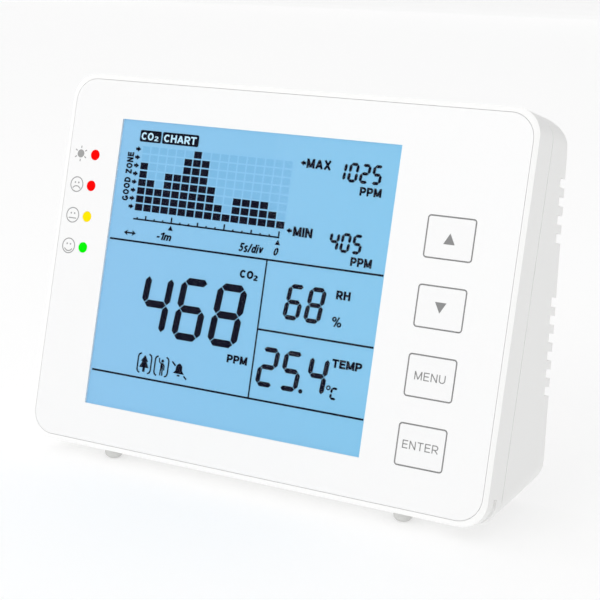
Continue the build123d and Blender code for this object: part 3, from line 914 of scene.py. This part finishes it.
@dataclass
class KeyLegends:
    """Grey legends printed on the four keys; each rides its own key."""

    face: Face
    proud: float = 0.02
    weight: float = 0.12
    spacing: float = 0.2
    arrows: tuple[tuple[str, Body, tuple[tuple[float, float], ...]], ...] = (
        ("legend_up", Body.UP, ((41.95, 14.1), (44.6, 14.1), (43.28, 16.5))),
        ("legend_down", Body.DOWN, ((41.95, 1.65), (43.28, -0.7), (44.6, 1.65))),
    )
    words: tuple[tuple[str, Body, str, tuple[float, ...]], ...] = (
        ("legend_menu", Body.MENU, "MENU", (39.6, -15.4, 46.8, -13.6)),
        ("legend_enter", Body.ENTER, "ENTER", (39.0, -30.35, 47.4, -28.55)),
    )

    def sheet(self) -> Plates:
        """An empty set of shapes at the keys' surface."""
        return Plates(self.face, -self.proud, self.proud)

    def build(self) -> None:
        """Print the two arrowheads and the two words."""
        for name, body, corners in self.arrows:
            self.sheet().plates(np.array(corners)).piece(name, GREY_INK_AND_GAP_SHADE, body, "key_white")
        for name, body, word, box in self.words:
            line = self.sheet().text(word, box, self.weight, spacing=self.spacing)
            line.piece(name, GREY_INK_AND_GAP_SHADE, body, "key_white")


SEGMENTS: dict[str, str] = {
    "0": "abcdef", "1": "bc", "2": "abged", "3": "abgcd", "4": "fgbc",
    "5": "afgcd", "6": "afgedc", "7": "abc", "8": "abcdefg", "9": "abcdfg",
}


@dataclass(frozen=True)
class Digits:
    """A row of seven-segment digits: where each starts, and the size they share."""

    shown: str
    lefts: tuple[float, ...]
    top: float
    bottom: float
    span: float
    thick: float
    gap: float
    slant: float = 0.09

    def outlines(self) -> np.ndarray:
        """Work out the dark segments: each runs between two corners of a leaning box of two cells.

        Returns:
            (M, 6, 2) outlines.
        """
        high, low = self.top - self.thick / 2, self.bottom + self.thick / 2
        mid = (high + low) / 2
        ends = {"a": ((0, high), (1, high)), "b": ((1, high), (1, mid)), "c": ((1, mid), (1, low)),
                "d": ((0, low), (1, low)), "e": ((0, mid), (0, low)), "f": ((0, high), (0, mid)),
                "g": ((0, mid), (1, mid))}
        shapes = []
        for digit, left in zip(self.shown, self.lefts):
            for letter, (start, stop) in ends.items():
                if letter not in SEGMENTS[digit]:
                    continue
                a, b = [(left + s * self.span, v) for s, v in (start, stop)]
                shape = segment(a, b, self.thick, self.gap)
                shape[:, 0] += self.slant * (shape[:, 1] - high)
                shapes.append(shape)
        return np.array(shapes)


@dataclass
class Display:
    """The liquid-crystal display behind its clear window: digits, chart, labels, pictures and rules."""

    face: Face
    window_back: float = 0.28
    ink_front: float = 0.40
    ink_back: float = 0.46
    letter_front: float = 0.34
    letter_back: float = 0.39
    faint_front: float = 0.47
    faint_back: float = 0.48
    lattice_back: float = 0.495
    shift: tuple[float, float] = (-0.23, -0.01)
    columns: tuple[int, ...] = (6, 4, 3, 5, 5, 7, 8, 7, 4, 2, 1, 3, 3, 3, 3, 2, 1)
    rows: int = 8
    column_x: float = -36.8
    column_pitch: float = 2.42
    row_v: float = 13.0
    row_pitch: float = 1.96
    cell_width: float = 2.05
    cell_height: float = 1.6
    field: tuple[float, ...] = (-38.0, 12.8, 3.1, 28.5)
    axis_v: float = 10.95
    axis_ends: tuple[float, float] = (-37.9, 2.1)
    axis_half: float = 0.18
    ticks: tuple[float, float, float] = (0.45, 0.95, 1.4)
    middle_ticks: tuple[int, ...] = (1, 7, 13)
    long_ticks: tuple[int, ...] = (4, 10, 16)
    marks_x: tuple[float, float] = (-27.1, 1.9)
    point: tuple[float, float, float] = (12.8, -22.4, 0.5)
    rule: float = 0.42
    rules_across: tuple[tuple[float, float, float], ...] = (
        (-43.75, 29.1, 5.65), (-43.8, 29.1, -26.05), (-0.05, 29.1, -10.2),
    )
    rule_down: tuple[float, ...] = (-0.37, -26.05, -0.03, 5.65)
    bold: float = 0.235
    fine: float = 0.2
    upright: float = 0.24
    lean: float = 0.22
    tabs: tuple[tuple[float, ...], ...] = ((-39.05, 29.35, -33.1, 32.1), (-32.7, 29.35, -22.6, 32.1))
    tab_letters: tuple[tuple[str, tuple[float, ...], float], ...] = (
        ("CO", (-38.6, 29.8, -35.2, 31.6), 0.2), ("2", (-34.9, 29.75, -33.8, 30.9), 0.18),
        ("CHART", (-32.2, 29.8, -23.2, 31.6), 0.2),
    )
    labels: tuple[tuple[str, tuple[float, ...]], ...] = (
        ("MAX", (6.55, 27.2, 12.7, 29.35)), ("MIN", (5.45, 11.7, 10.35, 13.85)),
        ("PPM", (20.6, 22.4, 25.9, 24.3)), ("PPM", (20.7, 6.8, 25.9, 8.75)),
        ("CO", (-6.75, 0.75, -3.2, 2.6)), ("2", (-3.05, 0.5, -2.0, 1.75)),
        ("PPM", (-7.1, -18.85, -1.75, -17.0)), ("RH", (18.4, -0.9, 21.9, 1.05)),
        ("TEMP", (19.7, -15.9, 27.1, -14.0)),
    )
    scale_labels: tuple[tuple[str, tuple[float, ...]], ...] = (
        ("-1m", (-30.6, 6.8, -26.5, 8.6)), ("5s/div", (-8.0, 6.7, -1.5, 8.7)), ("0", (1.2, 6.8, 2.4, 8.6)),
    )
    side_labels: tuple[tuple[str, tuple[float, ...]], ...] = (
        ("GOOD", (-41.9, 15.0, -40.15, 20.6)), ("ZONE", (-41.9, 21.5, -40.15, 26.6)),
    )
    numbers: tuple[Digits, ...] = (
        Digits("468", (-31.0, -21.03, -11.1), -1.02, -15.63, 6.2, 1.68, 0.16),
        Digits("1025", (14.75, 17.7, 20.6, 23.55), 29.45, 25.05, 1.75, 0.68, 0.06),
        Digits("405", (15.3, 18.15, 21.05), 13.85, 9.45, 1.75, 0.68, 0.06),
        Digits("68", (6.9, 12.25), 1.08, -7.03, 3.25, 1.02, 0.1, 0.11),
        Digits("254", (2.2, 8.25, 14.85), -13.82, -22.88, 3.75, 1.12, 0.11, 0.085),
    )

    def build(self) -> None:
        """Make the window pane and everything drawn behind it."""
        self.window()
        ink = Plates(self.face, self.ink_front, self.ink_back, self.shift)
        for number in self.numbers:
            ink.plates(number.outlines())
        ink.plates(arc(self.point[:2], self.point[2], count=16))
        ink.piece("display_digits", LCD_DARK, Body.CASE, "display_blue")
        faint = Plates(self.face, self.faint_front, self.faint_back, self.shift)
        self.cells(faint, driven=False)
        faint.piece("display_faint_cells", LCD_FAINT, Body.CASE, "display_blue")
        lattice = Plates(self.face, self.faint_back, self.lattice_back, self.shift)
        lattice.plates(rectangle(*self.field))
        lattice.piece("display_lattice", LCD_LATTICE, Body.CASE, "display_blue")
        chart = Plates(self.face, self.ink_front, self.ink_back, self.shift)
        self.cells(chart, driven=True)
        self.chart_axis(chart)
        self.level_marks(chart)
        chart.piece("display_chart", LCD_DARK, Body.CASE, "display_blue")
        words = Plates(self.face, self.ink_front, self.ink_back, self.shift)
        self.words(words)
        words.piece("display_words", LCD_DARK, Body.CASE, "display_blue")
        signs = Plates(self.face, self.ink_front, self.ink_back, self.shift)
        self.rules(signs)
        self.relay_signs(signs)
        self.bell(signs)
        signs.piece("display_signs", LCD_DARK, Body.CASE, "display_blue")
        letters = Plates(self.face, self.letter_front, self.letter_back, self.shift)
        for words, box, weight in self.tab_letters:
            letters.text(words, box, weight)
        letters.piece("display_tab_letters", LCD_LIGHT, Body.CASE, "display_blue")

    def window(self) -> None:
        """Make the clear pane: the window's own outline, thin enough to leave room for the segments."""
        low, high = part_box("display_window")
        half_height = self.window_half_height()
        middle_x = float(low.x + high.x) / 2 / MM
        half_width = float(high.x - low.x) / 2 / MM
        pane = Plates(self.face, 0.0, self.window_back)
        pane.plates(rectangle(middle_x - half_width, -half_height, middle_x + half_width, half_height))
        piece = pane.piece("display_pane", CLEAR_WINDOW, Body.CASE, "clear_window")
        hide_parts("display_window")

    def window_half_height(self) -> float:
        """Half the window's height up the face, found from its box as the face's was.

        Returns:
            Half the height in millimetres.
        """
        low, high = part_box("display_window")
        lean, rise = self.face.up.y, self.face.up.z
        deep, tall = high.y - low.y, high.z - low.z
        return float((tall * rise - deep * lean) / (rise * rise - lean * lean)) / 2 / MM

    def cells(self, ink: Plates, driven: bool) -> None:
        """Add the chart's cells: row j of column i is dark when j is below that column's level.

        Args:
            ink: The set of shapes to add to.
            driven: Whether to add the dark cells or the faint ones.
        """
        column, row = np.meshgrid(np.arange(len(self.columns)), np.arange(self.rows), indexing="ij")
        dark = row < np.array(self.columns)[:, None]
        keep = dark if driven else ~dark
        x = self.column_x + self.column_pitch * column[keep]
        v = self.row_v + self.row_pitch * row[keep]
        half = self.cell_width / 2
        ink.plates(np.stack((np.column_stack((x - half, v)), np.column_stack((x + half, v)),
                             np.column_stack((x + half, v + self.cell_height)),
                             np.column_stack((x - half, v + self.cell_height))), axis=1))

    def chart_axis(self, ink: Plates) -> None:
        """Add the time axis with its ticks, the marks under it and the double arrow.

        Args:
            ink: The set of shapes to add to.
        """
        first, last = self.axis_ends
        half, (short, middle, long) = self.axis_half, self.ticks
        ink.plates(rectangle(first, self.axis_v - half, last, self.axis_v + half))
        for number in range(len(self.columns)):
            x = self.column_x + self.column_pitch * number
            rise = middle if number in self.middle_ticks else long if number in self.long_ticks else short
            ink.plates(rectangle(x - half, self.axis_v, x + half, self.axis_v + rise))
        mark = np.array([(-0.68, 9.25), (0.68, 9.25), (0, 10.4)])
        for x in self.marks_x:
            ink.plates(mark + (x, 0))
        ink.plates(rectangle(-39.2, 7.32, -37.4, 7.68))
        ink.plates(np.array([(-40.0, 7.5), (-38.95, 6.85), (-39.2, 7.5), (-38.95, 8.15)]))
        ink.plates(np.array([(-36.6, 7.5), (-37.65, 8.15), (-37.4, 7.5), (-37.65, 6.85)]))

    def level_marks(self, ink: Plates) -> None:
        """Add the arrows that mark the chart's levels, and those at the highest and lowest.

        Args:
            ink: The set of shapes to add to.
        """
        for number in range(self.rows):
            v = 13.8 + self.row_pitch * number
            ink.plates(self.arrow((-38.3, v), -1))
        for tip, v in ((4.95, 28.25), (3.7, 12.8)):
            ink.plates(self.arrow((tip, v), 1))

    @staticmethod
    def arrow(tip: tuple[float, float], way: int) -> np.ndarray:
        """A short arrow: a head and a thick stem.

        Args:
            tip: Where its tip is.
            way: 1 to point left and -1 to point right.

        Returns:
            Its outline.
        """
        steps = np.array([(0, 0), (0.85, 0.62), (0.85, 0.3), (1.4, 0.3), (1.4, -0.3), (0.85, -0.3),
                          (0.85, -0.62)])
        return steps * (way, 1) + tip

    def words(self, ink: Plates) -> None:
        """Add the words and units, each stretched to its own place.

        Args:
            ink: The set of shapes to add to.
        """
        for box in self.tabs:
            ink.plates(rounded(*box, 0.4))
        for words, box in self.labels:
            ink.text(words, box, self.bold)
        for words, box in self.scale_labels:
            ink.text(words, box, self.fine, self.lean)
        for words, box in self.side_labels:
            ink.text(words, box, self.upright, upward=True, spacing=0.16)
        ink.text("%", (18.2, -7.0, 20.6, -4.8), 0.14)
        self.degree_sign(ink)

    @staticmethod
    def degree_sign(ink: Plates) -> None:
        """Add the degree ring and a squared C of four leaning segments.

        Args:
            ink: The set of shapes to add to.
        """
        ink.ribbon(arc((19.6, -20.5), 0.42, count=16), 0.26, closed=True)
        high, low, left, right, lean, thick = -20.45, -22.75, 20.55, 21.9, 0.09, 0.5
        corners = [(left, high), (right, high), (left, (high + low) / 2), (left, low), (right, low)]
        slanted = [(x + lean * (v - high), v) for x, v in corners]
        for a, b in ((0, 1), (0, 2), (2, 3), (3, 4)):
            ink.plates(segment(slanted[a], slanted[b], thick, 0.05))

    def rules(self, ink: Plates) -> None:
        """Add the lines that divide the display.

        Args:
            ink: The set of shapes to add to.
        """
        half = self.rule / 2
        for x0, x1, v in self.rules_across:
            ink.plates(rectangle(x0, v - half, x1, v + half))
        ink.plates(rectangle(*self.rule_down))

    def relay_signs(self, ink: Plates) -> None:
        """Add the bracketed signs: a tree, and a person with one arm raised.

        Args:
            ink: The set of shapes to add to.
        """
        for x, way in ((-31.1, 1), (-27.35, -1), (-26.3, 1), (-22.55, -1)):
            bracket = np.array([(0.75, -20.2), (0.2, -20.5), (0.0, -21.0), (0.0, -24.0), (0.2, -24.5),
                                (0.75, -24.8)])
            ink.ribbon(bracket * (way, 1) + (x, 0), 0.33)
        half = np.array([(0.0, -20.55), (1.0, -22.05), (0.55, -22.05), (1.3, -23.5), (0.32, -23.5),
                         (0.32, -24.5), (0.0, -24.5)])
        ink.plates(np.vstack((half, (half * (-1, 1))[-2:0:-1])) + (-29.25, 0))
        ink.plates(arc((-24.25, -21.2), 0.36, count=14))
        for limb, thick in (
            ([(-24.3, -21.7), (-24.3, -23.2)], 0.72), ([(-24.52, -23.1), (-24.6, -24.65)], 0.3),
            ([(-24.08, -23.1), (-24.02, -24.65)], 0.3),
            ([(-24.5, -21.85), (-25.1, -21.5), (-25.2, -20.6)], 0.26),
            ([(-24.1, -21.85), (-23.68, -22.3), (-23.62, -23.35)], 0.26),
        ):
            ink.ribbon(np.array(limb), thick)

    def bell(self, ink: Plates) -> None:
        """Add the silenced bell: its outline, clapper and the slash that stops short of it.

        Args:
            ink: The set of shapes to add to.
        """
        side = np.array([(0.15, -21.1), (0.45, -21.35), (0.8, -21.75), (0.9, -22.8), (1.5, -23.5)])
        ink.plates(np.vstack((side, (side * (-1, 1))[::-1])) + (-19.5, 0))
        ink.plates(rectangle(-19.85, -24.1, -19.15, -23.75))
        ink.ribbon(np.array([(-21.6, -20.9), (-20.55, -21.75)]), 0.36)
        ink.ribbon(np.array([(-18.0, -23.85), (-17.2, -24.5)]), 0.36)


@dataclass
class Studio:
    """Pale floor, soft light and the camera, none of them part of the object."""

    face: Face
    disc_m: float = 1.0
    sweep_start_m: float = 9.0
    sweep_radius_m: float = 0.6
    sweep_top_m: float = 1.5
    sweep_step: int = 6
    lens: float = 92.85
    sensor: float = 36.0
    clip_m: tuple[float, float] = (0.01, 100.0)
    stand: tuple[float, float, float] = (171.485, 5.798, -304.957)
    look: tuple[float, float, float] = (-0.46881, -0.02335, 0.88299)
    head: tuple[float, float, float] = (-0.13208, 0.99027, -0.04393)
    world: float = 0.57
    world_fall: float = 0.26
    sun: float = 0.8
    sun_angle: float = 110.0
    key_place: tuple[float, float, float] = (-0.3, -1.4, 0.65)
    key_size: float = 1.0
    key_power: float = 5.4

    def build(self) -> None:
        """Set the stage."""
        self.floor()
        self.sky()
        self.overhead()
        self.key()
        self.camera()
        view = bpy.context.scene.view_settings
        view.view_transform, view.look = "Standard", "None"

    def floor(self) -> None:
        """A round floor that sweeps up into a backdrop on every side: a profile turned about z.

        The profile runs level, turns up through a quarter circle, and then rises straight; the point at
        radius r, height z and angle a is (r cos a, r sin a, z).
        """
        turn = arc((self.sweep_start_m, self.sweep_radius_m), self.sweep_radius_m, -90, 0, 12)
        profile = np.vstack(([(self.disc_m, 0.0)], turn, [(turn[-1, 0], self.sweep_top_m)]))
        angles = np.radians(np.arange(0, 360, self.sweep_step))
        grid = np.empty((len(angles), len(profile), 3))
        grid[..., 0] = np.cos(angles)[:, None] * profile[:, 0]
        grid[..., 1] = np.sin(angles)[:, None] * profile[:, 0]
        grid[..., 2] = START_BOX[0].z + profile[:, 1]
        index = np.arange(grid.shape[0] * grid.shape[1]).reshape(grid.shape[:2])
        there = np.roll(index, -1, axis=0)
        quads = np.stack((index[:, :-1], index[:, 1:], there[:, 1:], there[:, :-1]), axis=-1)
        mesh = bpy.data.meshes.new("floor")
        faces = quads.reshape(-1, 4).tolist() + [index[:, 0].tolist()]
        mesh.from_pydata(grid.reshape(-1, 3).tolist(), [], faces)
        mesh.materials.append(LIGHT_TABLE.build())
        floor = bpy.data.objects.new("floor", mesh)
        bpy.context.scene.collection.objects.link(floor)

    def sky(self) -> None:
        """A white surround whose strength falls evenly from the left to the right."""
        world = bpy.data.worlds.new("studio_surround")
        world.use_nodes = True
        tree = world.node_tree
        way = add_node(tree, "ShaderNodeTexCoord")
        axes = add_node(tree, "ShaderNodeSeparateXYZ", links={"Vector": way.outputs["Generated"]})
        fall = add_node(tree, "ShaderNodeMapRange",
                        values={"From Min": -1.0, "From Max": 1.0, "To Min": self.world + self.world_fall,
                                "To Max": self.world - self.world_fall},
                        links={"Value": axes.outputs["X"]})
        tree.links.new(fall.outputs["Result"], tree.nodes["Background"].inputs["Strength"])
        tree.nodes["Background"].inputs["Color"].default_value = linear("#FFFFFF")
        bpy.context.scene.world = world

    @staticmethod
    def hang(name: str, thing: bpy.types.ID, turn: Matrix, place: Vector) -> bpy.types.Object:
        """Link a lamp or camera at a place, turned to look along its own downward axis.

        Args:
            name: The holder's name.
            thing: The lamp's or camera's data.
            turn: Its turn as a 4 x 4 matrix.
            place: Its place in metres.

        Returns:
            The holder.
        """
        holder = bpy.data.objects.new(name, thing)
        bpy.context.scene.collection.objects.link(holder)
        holder.matrix_world = Matrix.Translation(place) @ turn
        return holder

    def overhead(self) -> None:
        """A very broad light from straight above, even over the whole floor."""
        lamp = bpy.data.lights.new("overhead", "SUN")
        lamp.energy, lamp.angle = self.sun, float(np.radians(self.sun_angle))
        self.hang("overhead", lamp, Matrix.Identity(4), Vector((0.0, 0.0, 2.0)))

    def key(self) -> None:
        """A square soft light in front and to the left, aimed at the middle of the object."""
        lamp = bpy.data.lights.new("key", "AREA")
        lamp.shape, lamp.size, lamp.energy = "SQUARE", self.key_size, self.key_power
        aim = (START_BOX[0] + START_BOX[1]) / 2 - Vector(self.key_place)
        self.hang("key", lamp, aim.to_track_quat("-Z", "Y").to_matrix().to_4x4(), Vector(self.key_place))

    def camera(self) -> None:
        """Place the camera from its stand, its line of sight and its head direction on the face's axes."""
        axes = np.array([(1.0, 0.0, 0.0), tuple(self.face.up), tuple(self.face.inward)])
        back = -Vector(np.array(self.look) @ axes).normalized()
        head = Vector(np.array(self.head) @ axes)
        right = head.cross(back).normalized()
        turn = Matrix((right, back.cross(right), back)).transposed().to_4x4()
        stand = Vector(self.face.place(np.array([self.stand]))[0])
        lens = bpy.data.cameras.new("camera")
        lens.lens, lens.sensor_width = self.lens, self.sensor
        lens.clip_start, lens.clip_end = self.clip_m
        bpy.context.scene.camera = self.hang("camera", lens, turn, stand)


def main() -> None:
    """Build the sub-assemblies in order."""
    logging.basicConfig(level=logging.INFO, format="%(name)s %(message)s")
    face = Face.of_part(frame["joints"])
    PackedNodes(frame["record"], frame["nodes"]).dress()
    PanelPrintAndGapShade(face).build()
    KeyLegends(face).build()
    Display(face).build()
    Studio(face).build()


if __name__ == "__main__":
    main()
